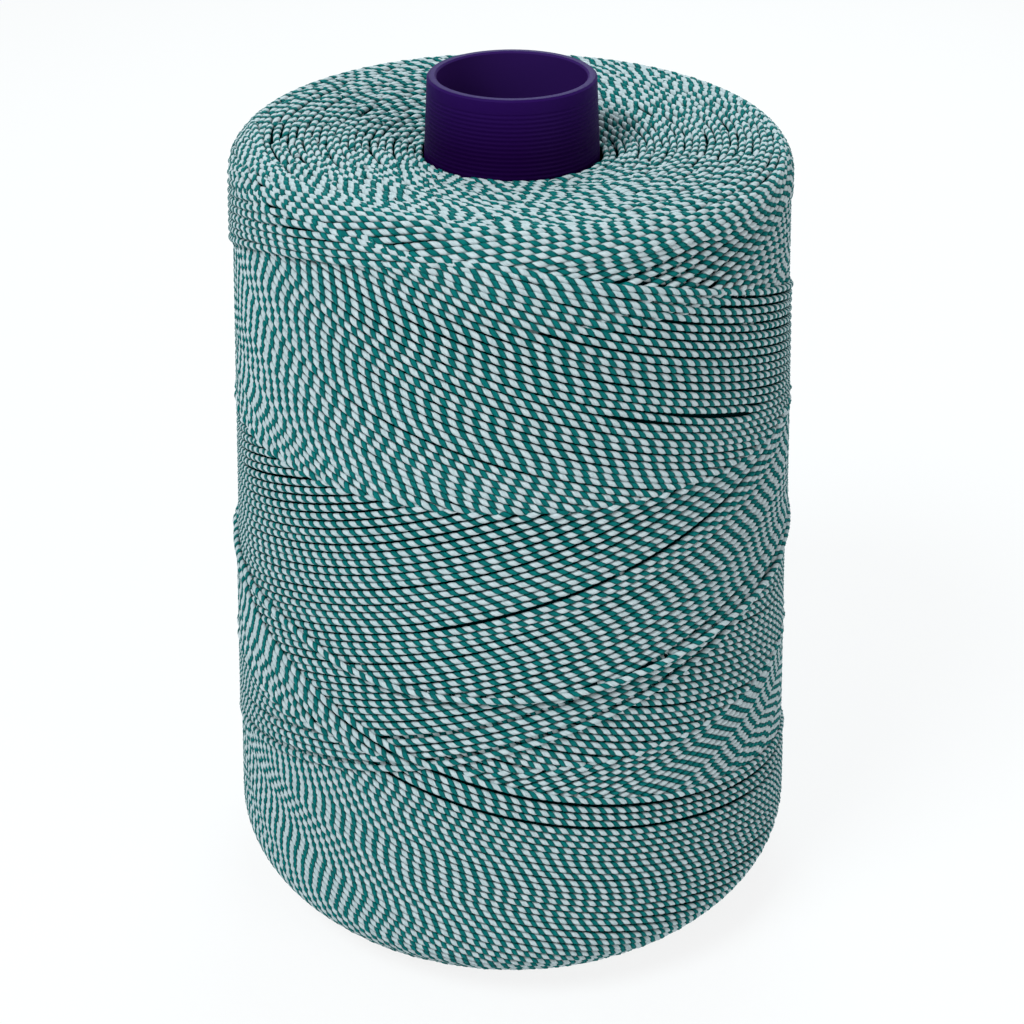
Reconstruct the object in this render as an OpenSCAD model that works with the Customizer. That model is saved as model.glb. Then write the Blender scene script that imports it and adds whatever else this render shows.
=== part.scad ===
// Package of two-ply twisted line wound on a tapered winding tube, small end up.
// The tube runs right through, and its wide end stands on the XY plane.
// The line is built up in layers: the inner layers are one closed body, and the
// outermost layer is laid over it as one unbroken length from the top of the
// package to the foot.

/* [Winding tube] */
// Outside diameter at the small end
tip_od = 35.8; // [30:0.1:46]
// Angle between the tube's wall and its axis, which the package shares
taper = 3.2; // [0:0.1:5]
// Wall thickness
tube_wall = 2; // [1.2:0.1:4]
// How far the small end stands out above the line
neck_out = 12; // [4:0.5:30]
// How far the wide end stands out below the line
foot_out = 6; // [0.5:0.5:20]
// Bevel at each mouth of the bore
bore_bevel = 0.4; // [0.2:0.1:0.6]
// Bevel on the outside of each rim
rim_bevel = 0.4; // [0.2:0.1:0.6]

/* [Grip grooves] */
// Smooth band between the rim of the small end and the first groove
smooth_band = 2.7; // [1:0.1:8]
// Distance from one groove to the next
groove_pitch = 0.9; // [0.6:0.05:2]
// Depth of a groove
groove_depth = 0.06; // [0.04:0.01:0.3]
// Number of grooves
groove_count = 22; // [4:1:40]

/* [Wound package] */
// Diameter of the side where the upper shoulder begins
pack_d = 120; // [90:1:160]
// Height from the foot to the crown of the top face
pack_h = 182; // [120:1:240]
// Radius of the upper shoulder
shoulder_r = 7; // [6:0.5:20]
// Radius of the lower corner
heel_r = 12.5; // [6:0.5:25]
// Depth of the top face's dip at the tube
top_dip = 5.5; // [3:0.5:12]
// Rise of the foot's face from its lowest ring to the tube
foot_rise = 5; // [2:0.5:8]
// Play between the inner layers and the tube
wind_play = 0.1; // [0.05:0.05:0.5]

/* [Line] */
// Diameter of the twisted line
line_d = 1.8; // [1.2:0.1:2.4]
// Loops that the outer layer makes
loops = 24; // [6:1:24]
// Room between the outer layer and the layers under it
lay_gap = 0.3; // [0.2:0.05:0.5]

/* [Hidden] */
$fn = 96;

overlap = 1;
tube_colour = [0.15, 0.09, 0.33];
inner_colour = [0.10, 0.55, 0.50];
outer_colour = [0.88, 0.92, 0.92];

foot_z = foot_out;
crown_z = foot_z + pack_h;
tube_length = crown_z + neck_out;

line_r = line_d / 2;
rings_per_loop = 24;
line_sides = 6;
bend_rings = 5;
arc_points = 14;

// Radius of the tube's outer wall at a height.
function wall_r(z) = tip_od / 2 + (tube_length - z) * tan(taper);

// The package's outer surface in section: from the tube outwards, the top face is
// an arc up to its crown, then come the shoulder's arc, the sloping side, the
// heel's arc, and the foot's face, which is an arc up to the tube. The crown lies
// right above the shoulder's centre and the lowest ring right below the heel's.
shoulder_mid = [pack_d / 2 - shoulder_r / cos(taper), crown_z - shoulder_r];
heel_z = foot_z + heel_r;
heel_mid = [
    pack_d / 2 + (shoulder_mid.y - heel_z) * tan(taper) - heel_r / cos(taper),
    heel_z
];
side_length = norm(shoulder_mid + shoulder_r * [cos(taper), sin(taper)]
    - heel_mid - heel_r * [cos(taper), sin(taper)]);
function arc_radius(width, drop) = (width * width + drop * drop) / (2 * drop);
top_arc_r = arc_radius(shoulder_mid.x - wall_r(crown_z - top_dip), top_dip);
foot_arc_r = arc_radius(heel_mid.x - wall_r(foot_z + foot_rise), foot_rise);
top_mid = [shoulder_mid.x, crown_z - top_arc_r];
foot_mid = [heel_mid.x, foot_z + foot_arc_r];

// A ring-to-ring chord of the outer layer sags towards the axis by this much.
chord_sag = (heel_mid.x + heel_r) * (1 - cos(180 / rings_per_loop));
// Thickness that the outer layer takes up over the inner layers.
layer = line_d + lay_gap + chord_sag;

// ---- winding tube ----

function groove_points(z) = [
    [wall_r(z + groove_pitch * 3 / 4), z + groove_pitch * 3 / 4],
    [wall_r(z + groove_pitch / 2) - groove_depth, z + groove_pitch / 2],
    [wall_r(z + groove_pitch / 4) - groove_depth, z + groove_pitch / 4],
    [wall_r(z), z],
];

module winding_tube() {
    grooves_z = tube_length - smooth_band;
    color(tube_colour)
        difference() {
            rotate_extrude()
                polygon([
                    [0, tube_length],
                    [wall_r(tube_length) - rim_bevel, tube_length],
                    [wall_r(tube_length - rim_bevel), tube_length - rim_bevel],
                    for (i = [1:groove_count]) each groove_points(grooves_z - i * groove_pitch),
                    [wall_r(rim_bevel), rim_bevel],
                    [wall_r(0) - rim_bevel, 0],
                    [0, 0],
                ]);
            translate([0, 0, -overlap])
                cylinder(
                    h = tube_length + 2 * overlap,
                    r1 = wall_r(-overlap) - tube_wall,
                    r2 = wall_r(tube_length + overlap) - tube_wall
                );
            mouth_bevel(wall_r(0) - tube_wall);
            translate([0, 0, tube_length])
                mirror([0, 0, 1])
                    mouth_bevel(wall_r(tube_length) - tube_wall);
        }
}

// Cutter for the bevel round a mouth of the bore that lies on the XY plane.
module mouth_bevel(mouth_r) {
    translate([0, 0, -overlap])
        cylinder(h = bore_bevel + overlap, r1 = mouth_r + bore_bevel + overlap, r2 = mouth_r);
}

// ---- inner layers ----

// Points of an arc round a centre, from one angle to another.
function arc(centre, radius, from, to) =
    [for (i = [0:arc_points]) let (a = from + (to - from) * i / arc_points)
        centre + radius * [cos(a), sin(a)]];

// Angle from the vertical at which an arc that crests at crest_r crosses radius r.
function arc_angle(crest_r, arc_r, r) = asin((crest_r - r) / arc_r);

module inner_winding() {
    top_bed_r = wall_r(crown_z - top_dip - layer) + wind_play;
    foot_bed_r = wall_r(foot_z + foot_rise + layer) + wind_play;
    top_angle = arc_angle(top_mid.x, top_arc_r - layer, top_bed_r);
    foot_angle = arc_angle(foot_mid.x, foot_arc_r - layer, foot_bed_r);
    color(inner_colour)
        rotate_extrude()
            polygon(concat(
                arc(top_mid, top_arc_r - layer, 90 + top_angle, 90),
                arc(shoulder_mid, shoulder_r - layer, 90, taper),
                arc(heel_mid, heel_r - layer, taper, -90),
                arc(foot_mid, foot_arc_r - layer, -90, -90 - foot_angle)
            ));
}

// ---- outer layer ----

// The centre of the line follows the section one line radius inside the surface.
// At each end it keeps far enough from the tube to bend inwards and run straight.
bend_r = 1.3 * line_d;
function end_r(straight_r) = bend_r + sqrt(straight_r * straight_r + bend_r * bend_r);
top_end_r = end_r(wall_r(crown_z - top_dip) + line_d);
foot_end_r = end_r(wall_r(foot_z) + line_d);
top_path_r = top_arc_r - line_r;
shoulder_path_r = shoulder_r - line_r;
heel_path_r = heel_r - line_r;
foot_path_r = foot_arc_r - line_r;
top_sweep = arc_angle(top_mid.x, top_path_r, top_end_r);
foot_sweep = arc_angle(foot_mid.x, foot_path_r, foot_end_r);

function arc_length(radius, sweep) = radius * sweep * PI / 180;
top_run = arc_length(top_path_r, top_sweep);
shoulder_run = top_run + arc_length(shoulder_path_r, 90 - taper);
side_run = shoulder_run + side_length;
heel_run = side_run + arc_length(heel_path_r, 90 + taper);
path_run = heel_run + arc_length(foot_path_r, foot_sweep);

function polar(centre, radius, angle) = centre + radius * [cos(angle), sin(angle)];
function turned(run, radius) = run / radius * 180 / PI;

// Place [radius, height] at a run along the section, from the top face inwards of
// the crown, over the shoulder and down the side, to the face of the foot.
function section_at(run) =
    run < top_run
        ? polar(top_mid, top_path_r, 90 + top_sweep - turned(run, top_path_r))
    : run < shoulder_run
        ? polar(shoulder_mid, shoulder_path_r, 90 - turned(run - top_run, shoulder_path_r))
    : run < side_run
        ? polar(shoulder_mid, shoulder_path_r, taper)
            + (run - shoulder_run) * [sin(taper), -cos(taper)]
    : run < heel_run
        ? polar(heel_mid, heel_path_r, taper - turned(run - side_run, heel_path_r))
    : polar(foot_mid, foot_path_r, -90 - turned(run - heel_run, foot_path_r));

function around(r, angle, z) = [r * cos(angle), r * sin(angle), z];

loop_rings = loops * rings_per_loop;
loop_path = [for (i = [0:loop_rings])
    let (place = section_at(path_run * i / loop_rings))
        around(place[0], 360 * i / rings_per_loop, place[1])];

// At each end the line bends inwards and meets the tube's wall squarely. The bend
// is tangent to the last loop and to a radius of the tube, and from there the
// line runs straight. The side is 1 where the loops go on and -1 where they end.
function end_path(angle, r, z, side) =
    let (
        line_angle = angle - side * asin(bend_r / (r - bend_r)),
        middle = around(r - bend_r, angle, z)
    )
    concat(
        [around(wall_r(z - line_r), line_angle, z)],
        [for (i = [0:bend_rings - 1])
            let (a = line_angle + (angle - line_angle) * i / bend_rings
                - side * 90 * (1 - i / bend_rings))
                middle + around(bend_r, a, 0)]
    );

function reversed(points) = [for (i = [len(points) - 1:-1:0]) points[i]];

line_path = concat(
    end_path(0, top_end_r, loop_path[0].z, 1),
    loop_path,
    reversed(end_path(360 * loops, foot_end_r, loop_path[loop_rings].z, -1))
);

function unit(v) = v / norm(v);
last_ring = len(line_path) - 1;
headings = [for (i = [0:last_ring])
    unit(line_path[min(i + 1, last_ring)] - line_path[max(i - 1, 0)])];

// Each ring's first corner is carried along the line without twisting it.
function carried(up, heading) = unit(up - (up * heading) * heading);
ups = [for (i = 0, up = carried([0, 0, 1], headings[0]); i <= last_ring;
    i = i + 1, up = i <= last_ring ? carried(up, headings[i]) : up) up];

module swept_line(path, radius, sides) {
    rings = len(path);
    corners = [for (i = [0:rings - 1], k = [0:sides - 1])
        let (a = 360 * k / sides)
            path[i] + radius * (cos(a) * ups[i] + sin(a) * cross(headings[i], ups[i]))];
    walls = [for (i = [0:rings - 2], k = [0:sides - 1])
        let (a = i * sides + k, b = i * sides + (k + 1) % sides)
            each [[a, a + sides, b + sides], [a, b + sides, b]]];
    start_cap = [for (k = [1:sides - 2]) [0, k, k + 1]];
    end = (rings - 1) * sides;
    end_cap = [for (k = [1:sides - 2]) [end, end + k + 1, end + k]];
    polyhedron(corners, concat(walls, start_cap, end_cap));
}

module outer_winding() {
    color(outer_colour)
        swept_line(line_path, line_r, line_sides);
}

// Least distance between places at least half a loop apart, less the line itself.
half_loop = rings_per_loop / 2;
least_gap = min([for (i = [0:last_ring - half_loop], j = [i + half_loop:last_ring])
    norm(line_path[i] - line_path[j])]) - line_d;
echo(str("least gap of the outer layer to itself, mm: ", least_gap));  // outer_winding

winding_tube();
inner_winding();
outer_winding();
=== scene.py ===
# %% [markdown]
# # A cone of two-tone twisted line
#
# The real object is a tapered plastic tube with several hundred metres of twisted line wound on it. A
# winding machine turns the tube while a guide runs the line up and down, so the line crosses itself at a
# small angle and the package holds together without flanges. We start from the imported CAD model, which
# gives the true sizes, and build only looks on top of it.

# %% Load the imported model
import math
from collections import namedtuple

import bmesh
import bpy
import numpy as np
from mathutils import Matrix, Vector


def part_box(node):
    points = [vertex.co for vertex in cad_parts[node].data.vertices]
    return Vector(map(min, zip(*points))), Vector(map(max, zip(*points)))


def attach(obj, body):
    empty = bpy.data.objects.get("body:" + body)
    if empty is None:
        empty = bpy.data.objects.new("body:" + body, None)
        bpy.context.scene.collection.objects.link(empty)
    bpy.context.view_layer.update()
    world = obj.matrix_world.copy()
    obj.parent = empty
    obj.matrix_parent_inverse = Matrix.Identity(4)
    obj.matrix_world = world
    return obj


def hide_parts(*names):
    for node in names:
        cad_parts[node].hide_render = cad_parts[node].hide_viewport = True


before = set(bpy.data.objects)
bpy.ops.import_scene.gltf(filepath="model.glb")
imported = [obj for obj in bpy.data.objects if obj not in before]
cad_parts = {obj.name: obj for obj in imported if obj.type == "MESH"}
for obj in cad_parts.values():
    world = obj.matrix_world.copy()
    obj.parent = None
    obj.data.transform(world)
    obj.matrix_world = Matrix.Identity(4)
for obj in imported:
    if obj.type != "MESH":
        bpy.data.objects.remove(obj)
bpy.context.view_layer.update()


# %% [markdown]
# ## Camera
#
# The camera comes first, because everything after it is judged through it. A constraint could aim it, but
# its place and one angle say the same in plain numbers. It stands half a metre away and looks down at the
# package, so the near rim looks larger than the foot.

# %% Place the camera
LENS, SENSOR = 66.02, 36        # mm
CAMERA_PLACE = (0, -0.3860, 0.3199)  # m
LOOKS_DOWN = 30.39              # degrees

lens = bpy.data.cameras.new("camera")
lens.lens = LENS
lens.sensor_width = SENSOR
camera = bpy.data.objects.new("camera", lens)
camera.location = CAMERA_PLACE
camera.rotation_euler = (math.radians(90 - LOOKS_DOWN), 0, 0)
bpy.context.scene.collection.objects.link(camera)
bpy.context.scene.camera = camera
print("camera", round(camera.location.length, 3), "m from the foot of the package")

# %% [markdown]
# ## Shader and node helpers
#
# A node tree is easier to read as arithmetic. `Wire` wraps one output socket, and the usual operators add
# Math nodes. `Tree.node` makes every other node: its type, its settings, then the values or wires of its
# sockets.

# %% Arithmetic on sockets
class Wire:
    """One output socket that can be used in expressions."""

    def __init__(self, tree, socket):
        self.tree = tree
        self.socket = socket

    def beside(self, name):
        """Another output of the same node."""
        return Wire(self.tree, self.socket.node.outputs[name])

    def math(self, operation, first, second):
        return self.tree.node("ShaderNodeMath", {"operation": operation}, {0: first, 1: second})

    def __add__(self, other):
        return self.math("ADD", self, other)

    def __radd__(self, other):
        return self.math("ADD", other, self)

    def __sub__(self, other):
        return self.math("SUBTRACT", self, other)

    def __rsub__(self, other):
        return self.math("SUBTRACT", other, self)

    def __mul__(self, other):
        return self.math("MULTIPLY", self, other)

    def __rmul__(self, other):
        return self.math("MULTIPLY", other, self)

    def __truediv__(self, other):
        return self.math("DIVIDE", self, other)

    def __rtruediv__(self, other):
        return self.math("DIVIDE", other, self)

    def __pow__(self, other):
        return self.math("POWER", self, other)

    def __rpow__(self, other):
        return self.math("POWER", other, self)

    def __gt__(self, other):
        return self.math("GREATER_THAN", self, other)

    def __lt__(self, other):
        return self.math("LESS_THAN", self, other)


# %% Trees, paints and plugs
class Tree:
    """The node tree of a material, of the world or of Geometry Nodes."""

    def __init__(self, graph):
        self.graph = graph

    def node(self, kind, settings=None, sockets=None, out=0):
        """Makes a node, sets it, fills its sockets and returns one of its outputs."""
        made = self.graph.nodes.new(kind)
        for name, value in (settings or {}).items():
            setattr(made, name, value)
        for key, value in (sockets or {}).items():
            socket = self.find(made.inputs, key)
            if isinstance(value, Wire):
                self.graph.links.new(value.socket, socket)
            else:
                socket.default_value = value
        return Wire(self, self.find(made.outputs, out))

    def find(self, among, key):
        """A socket by its number, its identifier or its name."""
        if isinstance(key, int):
            return among[key]
        return next(s for s in among if key in (s.identifier, s.name))

    def noise(self, where, scale, detail=2.0, roughness=0.5):
        return self.node("ShaderNodeTexNoise", None, {
            "Vector": where, "Scale": scale, "Detail": detail, "Roughness": roughness})

    def scaled(self, where, factors):
        return self.node("ShaderNodeVectorMath", {"operation": "MULTIPLY"}, {0: where, 1: factors})

    def blend(self, factor, first, second):
        return self.node("ShaderNodeMix", {"data_type": "RGBA"}, {
            "Factor_Float": factor, "A_Color": first, "B_Color": second}, "Result_Color")


def paint(name, **constants):
    """A material whose shader holds the given constants. Returns it, its tree and its shader."""
    material = bpy.data.materials.new(name)
    material.use_nodes = True
    shader = material.node_tree.nodes["Principled BSDF"]
    for key, value in constants.items():
        shader.inputs[key.replace("_", " ")].default_value = value
    return material, Tree(material.node_tree), shader


def plug(tree, node, **wires):
    """Links wires to a node's sockets."""
    for key, wire in wires.items():
        tree.graph.links.new(wire.socket, node.inputs[key.replace("_", " ")])


# %% [markdown]
# ## Room and light
#
# A package like this is shown on plain white with soft light. More lamp power would make the background
# white too, but would bleach the line. So the world tells the rays of the camera from the others: the
# camera sees full white, and the object gets a weak, slightly blue light from all round.

# %% World
WHITE = (1, 1, 1, 1)
ROOM_COLOUR = (0.80, 0.86, 0.92, 1)
ROOM_STRENGTH = 0.38

world = bpy.data.worlds.new("room")
bpy.context.scene.world = world
world.use_nodes = True
room = Tree(world.node_tree)
camera_ray = room.node("ShaderNodeLightPath", out="Is Camera Ray")
seen = camera_ray + camera_ray.beside("Is Glossy Ray") + camera_ray.beside("Is Transmission Ray")
plug(room, world.node_tree.nodes["Background"], Color=room.blend(seen, ROOM_COLOUR, WHITE),
     Strength=seen * (1 - ROOM_STRENGTH) + ROOM_STRENGTH)
bpy.context.scene.view_settings.view_transform = "Standard"
print("world:", len(world.node_tree.nodes), "nodes")

# %% [markdown]
# Three round soft lamps shape the package: a key from the upper left, a fill from the right and one from
# behind, which brings out the back of the top face. Disks give rounder highlights on the strands than
# squares would.

# %% Lamps
AIM = Vector((0, 0, 0.1))       # the middle of the package


def lamp(name, place, size, power, colour):
    """A round area lamp that looks at the middle of the package."""
    light = bpy.data.lights.new(name, "AREA")
    light.shape = "DISK"
    light.size = size
    light.energy = power
    light.color = colour
    holder = bpy.data.objects.new(name, light)
    holder.location = place
    holder.rotation_euler = (AIM - Vector(place)).to_track_quat("-Z", "Y").to_euler()
    bpy.context.scene.collection.objects.link(holder)
    print("lamp", name, power, "W")


lamp("key", place=(-0.50, -0.50, 1.00), size=0.45, power=10.3, colour=(0.83, 0.97, 1.0))
lamp("fill", place=(0.75, -0.75, 0.50), size=0.6, power=3.4, colour=(0.92, 1.0, 1.0))
lamp("back", place=(0.1, 0.7, 0.7), size=0.6, power=4.4, colour=(0.72, 0.95, 1.0))

# %% [markdown]
# The floor is a wide white plane. Mostly glowing for the camera, it melts into the background, and the part
# that doesn't glow keeps the package's soft shadow.

# %% Floor
FLOOR_SIZE = 6
FLOOR_GLOW = 0.85

bpy.ops.mesh.primitive_plane_add(size=FLOOR_SIZE, location=(0, 0, 0))
floor = bpy.context.object
floor.name = "floor"
floor_paint, tree, shader = paint("floor_paint", Base_Color=(0.9, 0.9, 0.9, 1), Roughness=0.9)
camera_ray = tree.node("ShaderNodeLightPath", out="Is Camera Ray")
glow = tree.node("ShaderNodeEmission", None, {"Color": WHITE, "Strength": 1.0})
surface_mix = tree.node("ShaderNodeMixShader", None, {
    0: camera_ray * FLOOR_GLOW, 1: Wire(tree, shader.outputs[0]), 2: glow})
plug(tree, floor_paint.node_tree.nodes["Material Output"], Surface=surface_mix)
floor.data.materials.append(floor_paint)
print("floor:", FLOOR_SIZE, "m wide")

# %% [markdown]
# ## The winding tube
#
# The tube is one plastic moulding whose shape the CAD model already has, grooves and all, so it keeps its
# mesh. It gets a satin indigo plastic with fine uneven rings left by the mould. Its colour holds painted
# light: a little lighter at the rim, a painted glow for the light that comes through the thin wall there,
# and lighter again inside, painted light where the bore lies in shade.

# %% Tube plastic
TAPER = math.radians(3.2)       # half angle of the tube and of the package
TUBE_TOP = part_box("winding_tube")[1][2]
WALL_MIDDLE = 0.0171            # radius inside the wall at the small end, in m
RIM_FROM, RIM_TO = TUBE_TOP - 0.012, TUBE_TOP - 0.0005
INDIGO = (0.0095, 0.0, 0.031, 1)
# painted glow at the rim, for the light that comes through the thin wall
INDIGO_RIM_PAINTED_GLOW = (0.020, 0.003, 0.070, 1)
# painted light inside, lifting the shade of the bore
INDIGO_INSIDE_PAINTED_LIGHT = (0.030, 0.008, 0.088, 1)

tube_plastic, tree, shader = paint("tube_plastic", Specular_IOR_Level=0.03)
where = tree.node("ShaderNodeTexCoord", out="Object")
x = tree.node("ShaderNodeSeparateXYZ", None, {"Vector": where}, "X")
y = x.beside("Y")
height = x.beside("Z")
mould_rings = tree.noise(tree.node("ShaderNodeCombineXYZ", None, {"Z": height}), 1800.0)
grain = tree.noise(where, 900.0, 3.0)
# share of the painted rim glow, by height
rim_glow = tree.node("ShaderNodeMapRange", None, {"Value": height, "From Min": RIM_FROM, "From Max": RIM_TO})
from_axis = (x ** 2.0 + y ** 2.0) ** 0.5
# painted light: the bore, which lies in shade, is coloured lighter than the plastic
inside = from_axis + (height - TUBE_TOP) * math.tan(TAPER) < WALL_MIDDLE
colour = tree.blend(inside, tree.blend(rim_glow, INDIGO, INDIGO_RIM_PAINTED_GLOW), INDIGO_INSIDE_PAINTED_LIGHT)
ridges = tree.node("ShaderNodeBump", None, {
    "Strength": 0.25, "Distance": 0.0001, "Height": mould_rings * 0.8 + grain * 0.5})
plug(tree, shader, Base_Color=colour, Roughness=grain * 0.12 + mould_rings * 0.15 + 0.38, Normal=ridges)
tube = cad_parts["winding_tube"]
for slot in tube.material_slots:
    slot.material = tube_plastic
print("tube: slots", len(tube.material_slots), "top at", round(1000 * TUBE_TOP, 1), "mm")

# %% [markdown]
# ## The package's outline
#
# Half of the package's outline is a chain of arcs and one straight line: a hollow top face, a tight
# shoulder, the straight tapered side, a rounder heel and a hollow foot. We measure along it with one
# number, s, which is 0 where the shoulder starts and grows down the side. From here on, lengths are in
# millimetres until a mesh is made.

# %% Outline of the package
SIDE_R = 60.0                   # radius of the side, level with the shoulder's centre
SHOULDER_Z, SHOULDER_R = 181.0, 7.0
HEEL_Z, HEEL_R = 18.5, 12.5
TOP_R, FOOT_R = 108.5, 81.5     # arcs of the hollow top face and of the hollow foot
SHOULDER_X = SIDE_R - SHOULDER_R / math.cos(TAPER)
HEEL_X = SIDE_R + (SHOULDER_Z - HEEL_Z) * math.tan(TAPER) - HEEL_R / math.cos(TAPER)
TOP_Z, FOOT_Z = SHOULDER_Z + SHOULDER_R, HEEL_Z - HEEL_R
OUTWARD = np.array([math.cos(TAPER), math.sin(TAPER)])
SIDE_TOP = np.array([SHOULDER_X, SHOULDER_Z]) + SHOULDER_R * OUTWARD
SIDE_END = np.array([HEEL_X, HEEL_Z]) + HEEL_R * OUTWARD
SIDE_TURN = math.pi / 2 - TAPER  # how far the shoulder turns
SIDE_START = SHOULDER_R * SIDE_TURN
HEEL_START = SIDE_START + float(np.hypot(*(SIDE_END - SIDE_TOP)))
FOOT_START = HEEL_START + HEEL_R * (math.pi / 2 + TAPER)


def outline(s):
    """Radius, height and outward direction of the outline at s."""
    s = np.asarray(s, float)
    stretches = [s < 0, s < SIDE_START, s < HEEL_START, s < FOOT_START]
    turn = np.select(
        stretches,
        [s / TOP_R, s / SHOULDER_R, SIDE_TURN + 0 * s, SIDE_TURN + (s - HEEL_START) / HEEL_R],
        math.pi + (s - FOOT_START) / FOOT_R)
    nr, nz = np.sin(turn), np.cos(turn)
    share = (s - SIDE_START) / (HEEL_START - SIDE_START)
    side_r, side_z = (a + (b - a) * share for a, b in zip(SIDE_TOP, SIDE_END))
    r = np.select(
        stretches,
        [SHOULDER_X + TOP_R * nr, SHOULDER_X + SHOULDER_R * nr, side_r, HEEL_X + HEEL_R * nr],
        HEEL_X + FOOT_R * nr)
    z = np.select(
        stretches,
        [TOP_Z - TOP_R * (1 - nz), SHOULDER_Z + SHOULDER_R * nz, side_z, HEEL_Z + HEEL_R * nz],
        FOOT_Z + FOOT_R * (1 + nz))
    return r, z, nr, nz


print("outline: side from %.1f to %.1f, foot from %.1f mm" % (SIDE_START, HEEL_START, FOOT_START))

# %% [markdown]
# ## How the line runs
#
# The guide runs from the top to the foot and back while the tube makes three turns and a little more, so
# each double run lands 5.4 degrees beside the last one, and 67 double runs close the layer. A plain helix
# would cross itself in the same places but turn round in sharp corners. So each run follows a curve of s
# against w, the angle turned since the top, and the curve is rounded at both ends.

# %% The machine's law
CELL = 0.25                     # degrees from one point of a strand to the next
LINE = 1.8                      # thickness of the line
RUNS = 67                       # double runs in the outermost layer
STEP = 360 / RUNS               # degrees from one double run to the next
HALF = 540 + STEP / 2           # degrees turned from the top to the foot
W_KNOTS = [0, 5, 12, 25, 40, 55, 70, 90, 120, 150, 180, 360, 507, 522, 533, 543]
S_BELOW = [62.0, 125.0, 176.0, 182.0, 185.5, 186.8]  # s at the last six knots, the same for every run
SIDE_MIDDLE = slice(10, 12)     # two knots on the straight side

w_law = np.arange(0, HALF + 0.01, CELL)


def smooth(values, width, ends="edge"):
    """A running mean over an odd number of values that counts the middle ones most."""
    window = np.hanning(width)
    return np.convolve(np.pad(values, width // 2, ends), window / window.sum(), "valid")


def depth_law(s_above):
    """s against w_law for a run that leaves the top as given."""
    return smooth(np.interp(w_law, W_KNOTS, s_above + S_BELOW), 49, "reflect")


s_young = depth_law([12.5, 12.5, 12.7, 14.0, 17.0, 21.3, 26.5, 33.0, 42.7, 52.3])
s_middle = depth_law([2.6, 3.2, 5.6, 10.6, 16.2, 21.3, 26.5, 33.0, 42.7, 52.3])
s_old = depth_law([4.2, 4.6, 5.8, 8.3, 11.4, 15.2, 19.8, 26.5, 38.0, 50.0])

w_side = W_KNOTS[SIDE_MIDDLE]
s_side = np.interp(w_side, w_law, s_middle)
per_degree = math.radians(1) * float(outline(s_side.mean())[0])
slope = math.atan2((s_side[1] - s_side[0]) / (w_side[1] - w_side[0]), per_degree)
print("law: %d double runs, %.2f degrees apart, %.2f mm between strands on the side" % (
    RUNS, STEP, STEP * per_degree * math.sin(slope)))

# %% [markdown]
# The last runs of a package are never as even as the rest. The youngest ten turned round lower and lower
# and moved apart on their way down. The oldest ones turned round softly and further in on the top face. The
# run numbers k count back from the youngest, which is 0.

# %% Young and old runs
LATEST = -15.0                  # where the youngest run turns round, in degrees from the front
YOUNG = 9.5                     # over so many runs the turning point sank from the edge
OLD_FROM, OLD_OVER = 46, 6      # first of the old runs, and how many it takes to change over to them
CREEP = 0.42                    # mm that each old run turned round further in than the next
CREEP_MIDDLE, CREEP_RUNS = 56, 10  # run that didn't creep, and how many before it did
CREEP_END = 120                 # degrees of w after which no creep is left
SPREAD_RUNS = [0, 1, 2, 3, 4, 30, RUNS]
SPREAD_STEPS = [0, 0.45, 0.45, 0.50, 0.85, 0.0, 0.0]  # how much further back those runs lie, in steps
SPREAD_GROWS = [90, 230]        # degrees of w between which the spread opens


def first_angle(k):
    """Where double run k turns round at the top, with the spread that grows on its way down."""
    spread = np.interp(k, SPREAD_RUNS, SPREAD_STEPS)
    return LATEST - (k + spread * np.interp(w_law, SPREAD_GROWS, [0.25, 1])) * STEP


def depth(k):
    """s against w_law for double run k."""
    young = max(0.0, 1 - k / YOUNG)
    old = min(max((k - OLD_FROM) / OLD_OVER, 0.0), 1.0)
    s = young * s_young + (1 - young) * ((1 - old) * s_middle + old * s_old)
    return s + old * max(CREEP_MIDDLE - k, -CREEP_RUNS) * CREEP * np.clip(1 - w_law / CREEP_END, 0, 1)


print("s at the turn: youngest %.1f, middle %.1f, oldest %.1f mm" % tuple(depth(k)[0] for k in (0, 30, 66)))

# %% [markdown]
# A wound package also sags and slips a little. On the right of the front the lower runs lie flatter, and in
# two places neighbouring strands have slipped apart and show the dark between them. Both are small shifts
# of s that depend only on the place, so that neighbours move together.

# %% Slow unevenness
# each parting is three points, as angle and s, and a push in mm
PARTINGS = (((20, 43), (36, 47.5), (52, 52), 0.34),
            ((-15, 90.5), (15, 80), (58, 66), 0.30))
PART_BEYOND, PART_FADE = 6, 8   # degrees that a parting goes past its last points, and over which it fades
PART_EDGE, PART_REACH = 0.4, 3.5  # mm over which the push turns round, and how far it reaches


def from_front(phi):
    """The same angle between -180 and 180 degrees, 0 at the front."""
    return (phi + 180) % 360 - 180


def drift(phi, s):
    """How much deeper a strand lies there than the law says."""
    around = from_front(phi)
    side = np.interp(around, [-180, -110, -20, 20, 75, 115, 180], [0, 0, 0, 0.42, 1, 1, 0])
    deep = np.interp(s, [80, 104, 125, 150, 172, 188], [0, -1.3, -3.2, -5.2, -4.4, 0])
    wave = 0.35 * np.sin(np.radians(2 * around + 40) + s / 19) * np.interp(s, [5, 25, 165, 185], [0, 1, 1, 0])
    return side * deep + wave


def part(phi, s):
    """The push away from the two partings."""
    around = from_front(phi)
    push = 0 * s
    for first, middle, last, amount in PARTINGS:
        line = np.interp(around, [first[0], middle[0], last[0]], [first[1], middle[1], last[1]])
        to_end = np.minimum(around - first[0] + PART_BEYOND, last[0] + PART_BEYOND - around)
        near = np.clip(to_end / PART_FADE, 0, 1)
        fades = np.exp(-((s - line) / PART_REACH) ** 2)
        push = push + amount * near * np.tanh((s - line) / PART_EDGE) * fades
    return push


# %% [markdown]
# A run is the law with all of that added. Near the top, runs down lie a little lower and runs up a little
# higher, which shifts the rows where they cross. The youngest runs also swing up beside the turn.

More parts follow.
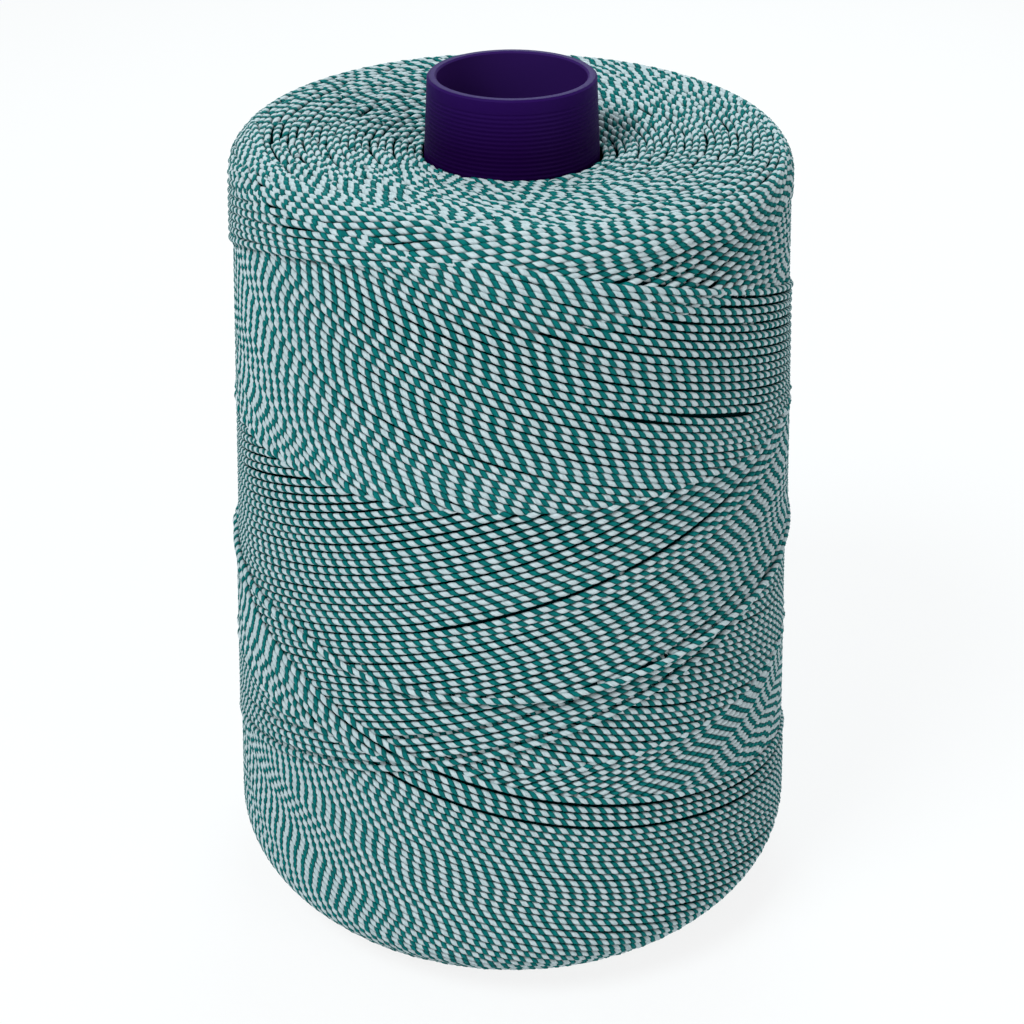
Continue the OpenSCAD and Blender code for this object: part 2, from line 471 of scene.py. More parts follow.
# %% One run
SWING, SWING_RUNS = 2.4, 6      # mm that a young run swings up, and how many do
SWING_AT, SWING_WIDTH = 8, 16   # degrees to the right of the turn, and half the width in degrees
OFFSET = 1.6                    # mm that a run down lies lower, and a run up higher
OFFSET_AT = [60, 150, 217]      # degrees of w at its start, peak and end


def run(k, way):
    """Angle and s of one run: way +1 goes down to the right, -1 goes down to the left."""
    phi = first_angle(k) + way * w_law
    beside = (way * w_law - SWING_AT) / SWING_WIDTH
    s = depth(k) - SWING * np.exp(-beside ** 2) * max(0, 1 - k / SWING_RUNS)
    s = s + way * np.interp(w_law, OFFSET_AT, [0, OFFSET, 0])
    s = s + drift(phi, s)
    return phi, s + part(phi, s)


print("youngest run down ends at s %.1f mm" % run(0, 1)[1][-1])

# %% [markdown]
# ## Laying the line
#
# Each strand rests on whatever lies under it and bridges the hollows, because it is wound under tension.
# Physics could find that, but slowly. We keep a height map of the package, one cell for every quarter
# degree and quarter millimetre, and lay the strands in the machine's order.

# %% Height map
Strand = namedtuple("Strand", "phi s centre turns family trench")

S_LOW, S_HIGH = -38.0, 232.0
REACH = 3                       # rows to each side that a strand covers
TOUCH = range(-2, 3)            # rows on which it rests
THICK = 0.55 * LINE             # what one layer adds, because strands nest and flatten
RAMP = 0.5                      # how much of that is left as a step at the youngest strand

rows = int((S_HIGH - S_LOW) / CELL)
columns = int(360 / CELL)
row_s = S_LOW + CELL * np.arange(rows)
column_phi = CELL * np.arange(columns)
w_here = np.interp(row_s, s_young, w_law)[:, None]
younger_down = (LATEST + w_here - column_phi[None]) % 360
younger_up = (LATEST - w_here - column_phi[None]) % 360
ground = RAMP * THICK * (2 - (younger_down + younger_up) / 360)
surface = ground.copy()
strands = []
print("height map:", rows, "rows,", columns, "columns")


def cells(phi, s):
    """Row and column of each point on the map."""
    row = np.clip(np.rint((s - S_LOW) / CELL).astype(int), REACH, rows - REACH - 1)
    return row, np.rint(phi / CELL).astype(int) % columns


def tighten(height, fall):
    """The lowest line over the supports that climbs no faster than fall for each step, rounded a little."""
    i = np.arange(len(height))
    ahead = np.maximum.accumulate(height + fall * i) - fall * i
    behind = (np.maximum.accumulate(height[::-1] + fall * i) - fall * i)[::-1]
    return smooth(np.maximum(ahead, behind), 9)


def support(phi, s, ceiling):
    """Height of a strand's centre over whatever lies under it."""
    row, column = cells(phi, s)
    under = np.max([surface[row + side, column] for side in TOUCH], axis=0)
    under[0] = under[1]
    return tighten(np.minimum(under, ceiling[row, column]) + THICK / 2, 0.15)


def lay_down(phi, s, centre, turns, family, trench=None):
    """Stamps a strand on the map. A trench is how many more rows it keeps clear below itself."""
    row, column = cells(phi, s)
    for side in TOUCH:
        top = centre + THICK / 2 * math.sqrt(1 - (side * CELL / (LINE / 2)) ** 2)
        np.maximum.at(surface, (row + side, column), top)
    strands.append(Strand(phi, s, centre, turns, family, trench))


def along(phi, s):
    """Distance along a strand in mm."""
    r, z, _, _ = outline(s)
    step = np.hypot(np.hypot(np.diff(z), np.diff(r)), np.radians(np.diff(phi)) * (r[1:] + r[:-1]) / 2)
    return np.concatenate([[0], np.cumsum(step)])


# %% [markdown]
# ### The two faces
#
# The older layers only show on the top face and under the foot, as the short arcs in which their runs
# turned round. Whole layers could be laid for that, but nearly all of it would be hidden. So the arcs of
# one layer make a ring, each ring lies a line's width outside the one before, and both ends of an arc dive
# under its neighbours.

# %% Rings of the two faces
LAY = 3.35                      # length of one full twist
DIVE_LENGTH, DIVE = 3.2, 1.2    # mm at each end over which an arc goes under, and how deep it goes
OVERLAP = 2.4                   # mm that an arc goes on past each end of its share of the ring
STRAY, STRAY_UP = 0.10, 0.12    # mm by which whole arcs stray, sideways and up
SLANT, ASIDE = 0.28, 0.45       # mm that an arc slants over half its length, and that its ends step out
BOB = 0.10                      # mm of unevenness along an arc
TUBE_LIFT, LIFT_REACH = 1.0, 12  # mm that the face climbs at the tube, and over how many
LEVEL = (1.5 + RAMP) * THICK + 0.45 * LINE  # height on the map that lies on the outline
FACE_LEVEL = LEVEL - LINE / 2

seed = np.random.default_rng(4)


def smooth_noise(phi, size):
    """A random wave that closes on itself round the package."""
    waves = [(n, seed.normal() * size / math.sqrt(n), seed.uniform(0, 6.28)) for n in range(1, 6)]
    return sum(a * np.sin(np.radians(n * phi) + p) for n, a, p in waves)


def arc_shape(phi, middle, half, per_mm, waves):
    """How far out of its ring's line an arc lies, and the height of its centre, point by point."""
    u = (phi - middle) / half
    dive = np.clip((np.abs(u) * half - half + DIVE_LENGTH * per_mm) / (DIVE_LENGTH * per_mm), 0, 1)
    shift = waves + seed.normal() * STRAY - SLANT * u + ASIDE * dive ** 2
    bob = np.convolve(seed.normal(0, 1, len(phi) + 40), np.hanning(41) / 4.5, "valid")[:len(phi)]
    return shift, FACE_LEVEL + seed.normal() * STRAY_UP - DIVE * dive ** 1.6 + BOB * bob


def face_rings(first, last, pitch, outward, arc):
    """Rings of arcs about arc mm long from s = first to last. outward is the sign of s away from the tube."""
    around = np.arange(0, 360, CELL)
    common = smooth_noise(around, 0.25)
    jitter = min(0.28, 2.5 / arc)
    made = 0
    for i in range(int(abs(last - first) / pitch)):
        common = common * 0.85 + smooth_noise(around, 0.12)
        per_mm = 180 / math.pi / float(outline(first + outward * i * pitch)[0])
        count = max(5, round(360 / (arc * per_mm)))
        middles = (np.arange(count) + seed.uniform(-jitter, jitter, count) + seed.uniform()) * 360 / count
        lift = TUBE_LIFT * max(0, 1 - i * pitch / LIFT_REACH) if outward > 0 else 0.0
        for middle in middles:
            half = 180 / count * seed.uniform(1.0, 1.15) + OVERLAP * per_mm
            phi = np.arange(round((middle - half) / CELL), round((middle + half) / CELL)) * CELL
            waves = np.interp(phi % 360, around, common)
            shift, centre = arc_shape(phi, middle, half, per_mm, waves)
            s = first + outward * (i * pitch + shift)
            turns = along(phi, s) / (LAY * seed.uniform(0.92, 1.06)) + seed.uniform()
            lay_down(phi, s, centre + lift, turns, "ring")
            made += 1
    return made


on_top = face_rings(first=-33.4, last=9.0, pitch=1.62, outward=1, arc=9.0)
under_foot = face_rings(first=220.0, last=184.0, pitch=1.9, outward=-1, arc=30.0)
print("rings:", on_top, "arcs on top,", under_foot, "under the foot")

# %% [markdown]
# ### The outermost layer
#
# The oldest run goes down first, each run up joins its run down in the turn at the top, and the youngest
# run comes last. Where the plies of neighbouring strands meet, they make columns or zigzags, depending on
# how far each strand is ahead of the next in its twist. So that phase is set here too, with a slow random
# wander on top.

# %% Twist of the layer
OLDER = 13                      # runs of the layer before that still show above the youngest ones
OLDER_POINTS = 440              # of these only the first 110 degrees
LAY_UP, LAY_DOWN = 3.38, 3.42   # length of one full twist on the runs up and on the runs down
PHASE_DOWN = -0.33              # turns that each strand's twist is ahead of the next one's
PHASE_UP, PHASE_UP_OLD = 0.475, 0.30  # the same for runs up, young and old
PHASE_OLD_FROM = 45
LOWER, LOWER_FULL = 340, 400    # degrees of w between which the lower part begins
LOWER_TIGHT = 0.91              # there a full twist is shorter
LOWER_PHASE = 0.53              # and each strand is so many turns more ahead, which makes zigzags
# the size of each wave in turns, then its phase: for each run, for each radian, at the start and by the way
SWAYS = ((0.26, 0.52, 1.1, 1, 1),
         (0.22, 0.68, -0.9, 4, -1),
         (0.40, 0.22, 0.5, 2, 0),
         (0.07, 0.3, 7, 0, 0),
         (0.05, 0.4, 11, 0, 0))

wander_down = np.cumsum(seed.normal(0, 0.07, RUNS + OLDER))
wander_up = np.cumsum(seed.normal(0, 0.07, RUNS + OLDER))
lower = np.interp(w_law, [LOWER - 5, LOWER_FULL], [0, 1])


def phase(k, way):
    """Where the twist of a run stands at the top, in turns."""
    if way > 0:
        return -PHASE_DOWN * k + wander_down[k]
    return -PHASE_UP * min(k, PHASE_OLD_FROM) - PHASE_UP_OLD * max(k - PHASE_OLD_FROM, 0) + wander_up[k]


def sway(k, way):
    """The twist comes a little early or late from run to run and from place to place, in turns."""
    a = np.radians(w_law)
    return sum(size * np.sin(per_run * k + per_radian * a + start + with_way * way)
               for size, per_run, per_radian, start, with_way in SWAYS)


def twist_along(k, way, phi, s):
    """Turns of the twist along a run."""
    lay = LAY_DOWN if way > 0 else LAY_UP
    tight = np.interp(w_law[1:], [LOWER, LOWER_FULL], [1.0, LOWER_TIGHT])
    turns = np.concatenate([[0], np.cumsum(np.diff(along(phi, s)) / (lay * tight))]) + phase(k, way)
    if way > 0:
        turns = turns - lower * ((LOWER_PHASE * k + 0.5) % 1 - 0.5)
    return turns + sway(k, way) + np.interp(w_law, np.arange(0, 600, 30), seed.normal(0, 0.08, 20))


print("sway: up to %.2f turns on the youngest run" % np.abs(sway(0, 1)).max())

# %% [markdown]
# Each strand wanders a little from its place, finds its height over what lies under it and is stamped on
# the map. Where strands lie apart, one sees into the dark between them. So two of the youngest runs keep a
# trench clear below them.

# %% Lay the outermost layer
UNEVEN = 0.055                  # mm by which a strand typically wanders
CEILING = ground + 1.45 * THICK
YOUNGEST_LIFT = 0.35            # mm that the youngest run stands proud, away from its ends
TRENCH_RUNS, TRENCH_ROWS = (0, 3), 4  # runs down that keep a trench, and its width in rows


def join_at_top(up, centre, turns):
    """Bends the run up so that it meets the run down: same height and same turn of the twist."""
    w = w_law[:len(up.centre)]
    up.centre[:] += (centre[0] - up.centre[0]) * np.exp(-w / 6)
    off = 0.5 - up.turns[0] - turns[0]
    up.turns[:] += (off - round(off)) * np.exp(-w / 15)


def lay_run(k, way):
    """Lays one run. A run down continues the run up that was laid just before it."""
    phi, s = run(k, way)
    uneven = np.interp(w_law, np.arange(0, 600, 60), seed.normal(0, UNEVEN, 10)) + seed.normal() * UNEVEN
    s = s + uneven * np.clip(w_law / 20, 0, 1)
    centre = support(phi, s, CEILING)
    turns = twist_along(k, way, phi, s)
    trench = None
    if way > 0:
        if k == 0:
            centre = centre + YOUNGEST_LIFT * np.interp(w_law, [200, 240, 470, 500], [0, 1, 1, 0])
        if k in TRENCH_RUNS:
            trench = np.interp(w_law, [270, 320, 430, 460], [0, TRENCH_ROWS, TRENCH_ROWS, 0]).astype(int)
        join_at_top(strands[-1], centre, turns)
    n = len(phi) if k < RUNS else OLDER_POINTS
    lay_down(phi[:n], s[:n], centre[:n], turns[:n], "down" if way > 0 else "up", trench)


for k in range(RUNS + OLDER - 1, -1, -1):
    lay_run(k, -1)
    lay_run(k, 1)
print("strands laid:", len(strands), "highest", round(float(surface.max()), 2), "mm")

# %% [markdown]
# ### The last wrap
#
# When the package is full, the machine lets go of the line, and the last turn waves freely across the
# front. It follows no law, so a few listed points give its route. Both its ends slip under the
# other strands.

# %% Lay the last wrap
WRAP_PHI = [-165, -130, -100, -71, -57, -44, -35, -26, -14, 0, 11, 21, 36, 46, 59, 74, 100, 130, 160]
WRAP_S = [104, 101, 99.5, 100, 101, 102.4, 104.7, 106.1, 106.6, 106.2, 105.4, 103.9, 101.0, 99.0, 97.3, 95.2,
          94.5, 96, 99]
WRAP_LAY = 3.3
WRAP_LIFT = 0.35
WRAP_DIVE, WRAP_DIVE_ANGLE = 1.6, 5  # mm that its ends go under, and over how many degrees

wrap_phi = np.arange(WRAP_PHI[0], WRAP_PHI[-1] + 0.1, CELL)
wrap_s = smooth(np.interp(wrap_phi, WRAP_PHI, WRAP_S), 41)
to_end = np.minimum(wrap_phi - wrap_phi[0], wrap_phi[-1] - wrap_phi)
wrap_dive = WRAP_DIVE * np.clip(1 - to_end / WRAP_DIVE_ANGLE, 0, 1) ** 1.5
wrap_centre = support(wrap_phi, wrap_s, ground + 1.9 * THICK) + WRAP_LIFT - wrap_dive
wrap_length = along(wrap_phi, wrap_s)
lay_down(wrap_phi, wrap_s, wrap_centre, wrap_length / WRAP_LAY + 0.4, "wrap",
         np.interp(wrap_phi, [-28, -20, 25, 40], [0, 2, 2, 0]).astype(int))
print("last wrap: %.0f mm long" % wrap_length[-1])

# %% [markdown]
# ### What shows
#
# Hidden stretches needn't be modelled. We go back from the youngest strand to the oldest, keep what no
# younger one covers, and let each kept stretch run on for a few points at both ends, where it slips under
# its neighbour.

# %% Keep what shows
TAIL = 9                        # points kept beyond each visible stretch
JOIN = 10                       # a hidden stretch with fewer points is kept too
SHORTEST_TOP, SHORTEST = 6, 4   # least points of a stretch near the top and elsewhere
SHOULDER_S, TOP_S = 24, 40      # s down to which strands cover less, and down to which the first least counts


def rows_covered(strand):
    """Rows above and below a strand that it hides, point by point."""
    if strand.family == "wrap":
        above = np.full(len(strand.s), 1)
    else:
        above = np.where(strand.s < SHOULDER_S, REACH - 1, REACH)
    if strand.trench is None:
        return above, above
    return above, np.where(strand.trench > 0, REACH + strand.trench, above)


def visible_stretches(strand, covered):
    """First and last points of what shows of a strand. Marks what the strand covers."""
    row, column = cells(strand.phi, strand.s)
    shows = ~covered[row, column]
    if strand.family in ("wrap", "ring"):
        shows[:TAIL] = False
        shows[-TAIL:] = False
    above, below = rows_covered(strand)
    for side in range(-REACH, below.max() + 1):
        hidden = shows & (-side <= above) & (side <= below)
        covered[row[hidden] + side, column[hidden]] = True
    ends = np.flatnonzero(np.diff(np.concatenate([[False], shows, [False]]).astype(int)))
    stretches = []
    for first, last in zip(ends[::2], ends[1::2]):
        shortest = SHORTEST if strand.s[first] > TOP_S else SHORTEST_TOP
        if stretches and first - stretches[-1][1] < JOIN:
            stretches[-1][1] = last
        elif last - first >= shortest:
            stretches.append([first, last])
    return [[max(0, first - TAIL), min(len(shows), last + TAIL)] for first, last in stretches]


covered = np.zeros((rows, columns), bool)
kept = [visible_stretches(strand, covered) for strand in reversed(strands)][::-1]
print("visible stretches:", sum(len(stretches) for stretches in kept))

# %% [markdown]
# Each stretch becomes one path. A run up and its run down that both show at the turn become one path
# together, so that the line goes through the turn without a seam.

# %% Paths
EACH = 4                        # one point in so many is enough
SINK = 0.35                     # mm that the ends of a path sink under its neighbours


def cut(strand, first, last, sink_first=True):
    """Points of one stretch, one for each degree: angle, s, height over the outline and turns."""
    pick = np.unique(np.concatenate([np.arange(first, last, EACH), [last - 1]]))
    from_end = last - 1 - pick
    if sink_first:
        from_end = np.minimum(from_end, pick - first)
    sink = (0.0 if strand.family == "ring" else SINK) * np.clip(1 - from_end / TAIL, 0, 1) ** 1.5
    return [strand.phi[pick], strand.s[pick], strand.centre[pick] - LEVEL - sink, strand.turns[pick]]


def end_at_top(number):
    """Last point of the stretch that starts in the turn at the top, or None."""
    return next((last for first, last in kept[number] if first == 0), None)


def through_the_turn(number, last):
    """One path out of a run up, backwards, and the run down that goes on from it."""
    up = cut(strands[number - 1], 0, end_at_top(number - 1), False)
    down = cut(strands[number], 0, last, False)
    up[3] = 0.5 - up[3]
    down[3] = down[3] + round(float(up[3][0] - down[3][0]))
    return [np.concatenate([u[:0:-1], d]) for u, d in zip(up, down)]


paths = []
for number, strand in enumerate(strands):
    for first, last in kept[number]:
        at_top = first == 0
        if at_top and strand.family == "up" and end_at_top(number + 1) is not None:
            continue            # the run down brings it along
        if at_top and strand.family == "down" and end_at_top(number - 1) is not None:
            paths.append(through_the_turn(number, last))
        else:
            paths.append(cut(strand, first, last))
heights = np.concatenate([path[2] for path in paths])
print("paths:", len(paths), "points:", len(heights), "mean depth of centres %.2f mm" % heights.mean(),
      "from %.2f to %.2f" % (heights.min(), heights.max()))

# %% [markdown]
# ## The twisted line
#
# Two plies, one white and one teal, are twisted round each other. A bump or a striped texture would look
# flat from near by. So Geometry Nodes sweeps a section with two creases along every path and turns it as it
# goes, one full turn for each lay, and the plies come out as real ridges. Each gets its own material, face
# by face.

# %% The twisting tree
SECTION_POINTS = 8
HALF_WIDTH = 0.50               # of the section, as a share of the thickness
HALF_AT_CREASE = 0.42
LEAN = -0.06                    # the white ply is thicker, so the creases lie a little on the teal side


def line_section(t, thickness):
    """The section as a closed curve, with two attributes: a point's ply, and its place in the section."""
    ring = t.node("GeometryNodeCurvePrimitiveCircle", {"mode": "RADIUS"}, {
        "Resolution": SECTION_POINTS, "Radius": 1.0})
    angle = t.node("GeometryNodeInputIndex") * (math.tau / SECTION_POINTS)
    across = t.node("ShaderNodeMath", {"operation": "COSINE"}, {0: angle})
    up = t.node("ShaderNodeMath", {"operation": "SINE"}, {0: angle})
    cheek = (across * up * 2.0) ** 2.0
    spot = t.node("ShaderNodeCombineXYZ", None, {
        "X": thickness * across * HALF_WIDTH,
        "Y": thickness * up * (HALF_AT_CREASE + cheek * (HALF_WIDTH - HALF_AT_CREASE))})
    lean = t.node("ShaderNodeCombineXYZ", None, {"X": thickness * up * up * LEAN})
    ring = t.node("GeometryNodeSetPosition", None, {"Geometry": ring, "Position": spot, "Offset": lean})
    in_white = (across > 0.1) * 0.5 + (across > -0.1) * 0.5
    ring = t.node("GeometryNodeStoreNamedAttribute", {"data_type": "FLOAT", "domain": "POINT"}, {
        "Geometry": ring, "Name": "ply", "Value": in_white})
    return t.node("GeometryNodeStoreNamedAttribute", {"data_type": "FLOAT_VECTOR", "domain": "POINT"}, {
        "Geometry": ring, "Name": "section", "Value": spot})


def crisp_creases(t, tube, ply):
    """Smooth shading everywhere but along the two creases."""
    tube = t.node("GeometryNodeSetShadeSmooth", None, {"Geometry": tube})
    crease = t.node("ShaderNodeMath", {"operation": "COMPARE"}, {0: ply, 1: 0.5, 2: 0.02})
    return t.node("GeometryNodeSetShadeSmooth", {"domain": "EDGE"}, {
        "Geometry": tube, "Selection": crease, "Shade Smooth": False})


def twisted_line_tree():
    """Chains of edges in, twisted line out. Returns the tree and the identifiers of its named inputs."""
    group = bpy.data.node_groups.new("twisted_line", "GeometryNodeTree")
    group.interface.new_socket("Geometry", in_out="INPUT", socket_type="NodeSocketGeometry")
    group.interface.new_socket("Geometry", in_out="OUTPUT", socket_type="NodeSocketGeometry")
    kinds = {"Thickness": "NodeSocketFloat", "Lay": "NodeSocketFloat", "Rings per lay": "NodeSocketInt",
             "White ply": "NodeSocketMaterial", "Teal ply": "NodeSocketMaterial"}
    sockets = {}
    for name, kind in kinds.items():
        sockets[name] = group.interface.new_socket(name, in_out="INPUT", socket_type=kind).identifier
    t = Tree(group)
    start = t.node("NodeGroupInput").socket.node
    given = {s.name: Wire(t, s) for s in start.outputs if s.name}

    path = t.node("GeometryNodeMeshToCurve", None, {"Mesh": given["Geometry"]})
    path = t.node("GeometryNodeResampleCurve", {"mode": "LENGTH"}, {
        "Curve": path, "Length": given["Lay"] / given["Rings per lay"]})
    path = t.node("GeometryNodeSetCurveNormal", {"mode": "Z_UP"}, {"Curve": path})
    turns = t.node("GeometryNodeInputNamedAttribute", {"data_type": "FLOAT"}, {"Name": "turns"})
    path = t.node("GeometryNodeSetCurveTilt", None, {"Curve": path, "Tilt": turns * math.tau})
    tube = t.node("GeometryNodeCurveToMesh", None, {
        "Curve": path, "Profile Curve": line_section(t, given["Thickness"]), "Fill Caps": True})
    tube = t.node("GeometryNodeTriangulate", {"quad_method": "SHORTEST_DIAGONAL"}, {"Mesh": tube})
    ply = t.node("GeometryNodeInputNamedAttribute", {"data_type": "FLOAT"}, {"Name": "ply"})
    tube = crisp_creases(t, tube, ply)

    # fibre is the place in the section, and along the line as it would be untwisted
    section = t.node("GeometryNodeInputNamedAttribute", {"data_type": "FLOAT_VECTOR"}, {"Name": "section"})
    length = t.node("ShaderNodeCombineXYZ", None, {"Z": turns * given["Lay"]})
    fibre = t.node("ShaderNodeVectorMath", {"operation": "ADD"}, {0: section, 1: length})
    tube = t.node("GeometryNodeStoreNamedAttribute", {"data_type": "FLOAT_VECTOR", "domain": "POINT"}, {
        "Geometry": tube, "Name": "fibre", "Value": fibre})

    tube = t.node("GeometryNodeRealizeInstances", None, {"Geometry": tube})
    tube = t.node("GeometryNodeSetMaterial", None, {"Geometry": tube, "Material": given["White ply"]})
    tube = t.node("GeometryNodeSetMaterial", None, {
        "Geometry": tube, "Selection": ply < 0.5, "Material": given["Teal ply"]})
    end = group.nodes.new("NodeGroupOutput")
    group.links.new(tube.socket, end.inputs[0])
    return group, sockets


twist, twist_inputs = twisted_line_tree()
print("twisting tree:", len(twist.nodes), "nodes")

# %% [markdown]
# ### The two plies
#
# Both plies are bundles of fine fibres that run along them. Single fibres would be far too many to model,
# so they show as streaks: noise that is stretched along the ply. It reads the attribute that the tree
# stored, which follows the twist. Its first number is 0 in the crease between the plies, where hardly any
# light gets in, so the colour sinks to a darker one there.

# %% Ply materials
STREAKS = (4200.0, 4200.0, 800.0)  # noise cells in a metre, across and along the ply
PATCHES = (500.0, 500.0, 350.0)
CREASE_WIDTH = 0.00004


def ply_paint(name, light, dark, crease, edge, roughness, gloss, sheen):
    """Fibres between a light and a dark tone. edge is how far from the crease its shade reaches, in m."""
    material, tree, shader = paint(name, Roughness=roughness, Specular_IOR_Level=gloss, Sheen_Weight=sheen,
                                   Sheen_Roughness=0.6, Sheen_Tint=(0.3, 0.95, 1.0, 1))
    fibre = tree.node("ShaderNodeAttribute", {"attribute_name": "fibre"}, None, "Vector")
    streak = tree.noise(tree.scaled(fibre, STREAKS), 1.0, 3.0, 0.6)
    patch = tree.noise(tree.scaled(fibre, PATCHES), 1.0, 2.0)
    tone = tree.node("ShaderNodeMapRange", None, {
        "Value": streak * 0.65 + patch * 0.35, "From Min": 0.37, "From Max": 0.60})
    strands_bump = tree.node("ShaderNodeBump", None, {"Strength": 0.6, "Distance": 0.00013, "Height": streak})
    aside = tree.node("ShaderNodeSeparateXYZ", None, {"Vector": fibre}, "X")
    off_crease = tree.node("ShaderNodeMath", {"operation": "ABSOLUTE"}, {0: aside})
    crown = tree.node("ShaderNodeMapRange", None, {
        "Value": off_crease, "From Min": CREASE_WIDTH, "From Max": edge})
    colour = tree.blend(crown, crease, tree.blend(tone, dark, light))
    plug(tree, shader, Base_Color=colour, Normal=strands_bump)
    print(name, len(tree.graph.nodes), "nodes")
    return material


white_ply = ply_paint("white_ply", light=(0.57, 0.605, 0.615, 1), dark=(0.40, 0.46, 0.47, 1),
                      crease=(0.25, 0.36, 0.37, 1), edge=0.00026, roughness=0.65, gloss=0.12, sheen=0.03)
teal_ply = ply_paint("teal_ply", light=(0.0, 0.160, 0.152, 1), dark=(0.001, 0.085, 0.084, 1),
                     crease=(0.0, 0.020, 0.023, 1), edge=0.00055, roughness=0.6, gloss=0.05, sheen=0.04)

# %% [markdown]
# ### Sweeping the paths
#
# The paths become chains of edges that carry the turns of the twist, and the tree makes the line out of
# them. One mesh would be too heavy, so the line is shared out over twelve pieces of nearly the same length.
# The strands are drawn a little thinner than the line is, because the real one is squeezed flat and leaves
# a dark gap between.

# %% Sweep the paths
PIECES = 12
DRAWN = 0.82 * LINE / 1000      # thickness of the swept line, in m
RINGS_PER_LAY = 6


def path_mesh(name, group):
    """Every path as a chain of edges, with the turns of the twist at each point."""
    points, edges, turns = [], [], []
    at = 0
    for phi, s, height, turn in group:
        r, z, nr, nz = outline(s)
        angle = np.radians(phi)
        r = r + nr * height
        z = z + nz * height
        points.append(np.stack([r * np.sin(angle), -r * np.cos(angle), z], 1) / 1000)
        i = np.arange(at, at + len(phi) - 1)
        edges.append(np.stack([i, i + 1], 1))
        turns.append(turn)
        at += len(phi)
    mesh = bpy.data.meshes.new(name)
    mesh.from_pydata(np.concatenate(points).tolist(), np.concatenate(edges).tolist(), [])
    stored = mesh.attributes.new("turns", "FLOAT", "POINT")
    stored.data.foreach_set("value", np.concatenate(turns).astype(np.float32))
    holder = bpy.data.objects.new(name, mesh)
    bpy.context.scene.collection.objects.link(holder)
    return holder


def sweep(name, group):
    """One piece of twisted line as a plain mesh."""
    piece = path_mesh(name, group)
    modifier = piece.modifiers.new("twist", "NODES")
    modifier.node_group = twist
    values = {"Thickness": DRAWN, "Lay": LAY / 1000, "Rings per lay": RINGS_PER_LAY,
              "White ply": white_ply, "Teal ply": teal_ply}
    for key, value in values.items():
        modifier[twist_inputs[key]] = value
    evaluated = piece.evaluated_get(bpy.context.evaluated_depsgraph_get())
    mesh = bpy.data.meshes.new_from_object(evaluated)
    piece.modifiers.clear()
    bare = piece.data
    piece.data = mesh
    bpy.data.meshes.remove(bare)
    mesh.name = name
    return piece


length_up_to = np.cumsum([along(path[0], path[1])[-1] for path in paths])
print("line shown: %.1f m" % (length_up_to[-1] / 1000))
triangles = 0
for n in range(PIECES):
    low = length_up_to[-1] * n / PIECES
    high = length_up_to[-1] * (n + 1) / PIECES
    share = [path for path, end in zip(paths, length_up_to) if low < end <= high]
    piece = sweep("line_%02d" % (n + 1), share)
    count = sum(len(face.vertices) - 2 for face in piece.data.polygons)
    triangles += count
    print(piece.name, count, "triangles", [m.name for m in piece.data.materials])
    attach(piece, "root")
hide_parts("outer_winding")
print("line: %d triangles in all" % triangles)

# %% [markdown]
# ## The layers beneath
#
# Between two strands one looks down at the layers beneath: the same white and teal line, in deep shade.
# Laying those as well would double the work for hardly any gain. A closed body follows the strands a little
# way down instead, coloured near black as painted shade for that shaded line.

# %% How deep the strands lie
PATCH_S, PATCH_PHI = 4, 5       # size of a patch of the package, in mm and degrees
PATCH_ROWS = int((S_HIGH - S_LOW) / PATCH_S) + 1
PATCH_COLUMNS = 360 // PATCH_PHI


def patch_row(s):
    return np.clip(((s - S_LOW) / PATCH_S).astype(int), 0, PATCH_ROWS - 1)


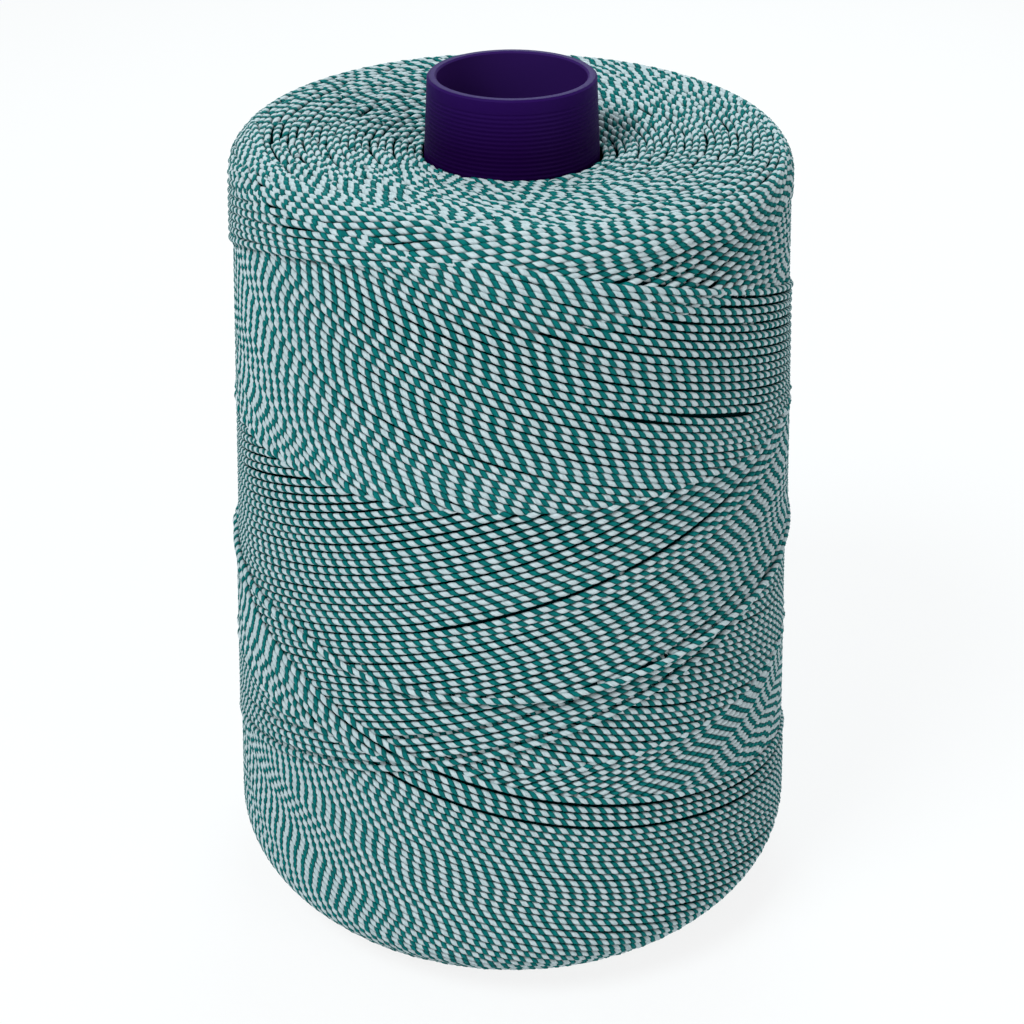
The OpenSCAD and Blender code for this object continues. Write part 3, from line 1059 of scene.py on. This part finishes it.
def buried_level():
    """For each patch of the package, how deep the strands that show lie, smoothed over its neighbours."""
    phi, s, height = (np.concatenate([path[i] for path in paths]) for i in range(3))
    patches = (patch_row(s), (phi % 360 / PATCH_PHI).astype(int) % PATCH_COLUMNS)
    total = np.zeros((PATCH_ROWS, PATCH_COLUMNS))
    number = np.zeros((PATCH_ROWS, PATCH_COLUMNS))
    np.add.at(total, patches, height)
    np.add.at(number, patches, 1)
    mean = np.where(number > 0, total / np.maximum(number, 1), -1.0)
    padded = np.pad(mean, ((1, 1), (0, 0)), "edge")
    padded = np.pad(padded, ((0, 0), (1, 1)), "wrap")
    near = [padded[i:i + PATCH_ROWS, j:j + PATCH_COLUMNS] for i in range(3) for j in range(3)]
    return sum(near) / 9


patch_heights = buried_level()
print("strands lie from %.2f to %.2f mm over the outline" % (patch_heights.min(), patch_heights.max()))

# %% The body under the strands
UNDER_FROM, UNDER_TO, UNDER_STEP = -33, 216.1, 3.0  # s of its rings
BURIED = 0.75                   # mm under the centres of the strands


def under_mesh():
    """A closed body of rings: one from the tube over the side to the foot, closed along the tube."""
    s = np.arange(UNDER_FROM, UNDER_TO, UNDER_STEP)[:, None] + np.zeros(PATCH_COLUMNS)
    height = patch_heights[patch_row(s[:, 0])] - BURIED
    angle = np.radians(PATCH_PHI * (np.arange(PATCH_COLUMNS) + 0.5))
    r, z, nr, nz = outline(s)
    r = r + nr * height
    z = z + nz * height
    points = np.stack([r * np.sin(angle), -r * np.cos(angle), z], 2).reshape(-1, 3) / 1000
    rings = len(s)
    faces = []
    for i in range(rings):
        below = (i + 1) % rings
        for j in range(PATCH_COLUMNS):
            k = (j + 1) % PATCH_COLUMNS
            corners = ((i, j), (below, j), (below, k), (i, k))
            faces.append([ring * PATCH_COLUMNS + spot for ring, spot in corners])
    mesh = bpy.data.meshes.new("under_layers")
    mesh.from_pydata(points.tolist(), [], faces)
    b = bmesh.new()
    b.from_mesh(mesh)
    bmesh.ops.recalc_face_normals(b, faces=b.faces)
    b.to_mesh(mesh)
    b.free()
    mesh.polygons.foreach_set("use_smooth", [True] * len(mesh.polygons))
    return mesh


under = bpy.data.objects.new("under_layers", under_mesh())
bpy.context.scene.collection.objects.link(under)
under_painted_shade, tree, shader = paint("under_layers_painted_shade", Roughness=0.9, Specular_IOR_Level=0.0)
where = tree.node("ShaderNodeTexCoord", out="Object")
# painted shade: near black, for the shaded white and teal line beneath
dark = tree.blend(tree.noise(where, 700.0, 3.0), (0.0, 0.003, 0.004, 1), (0.0, 0.013, 0.015, 1))
plug(tree, shader, Base_Color=dark)
under.data.materials.append(under_painted_shade)
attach(under, "root")
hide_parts("inner_winding")
print("under the strands:", len(under.data.polygons), "faces")
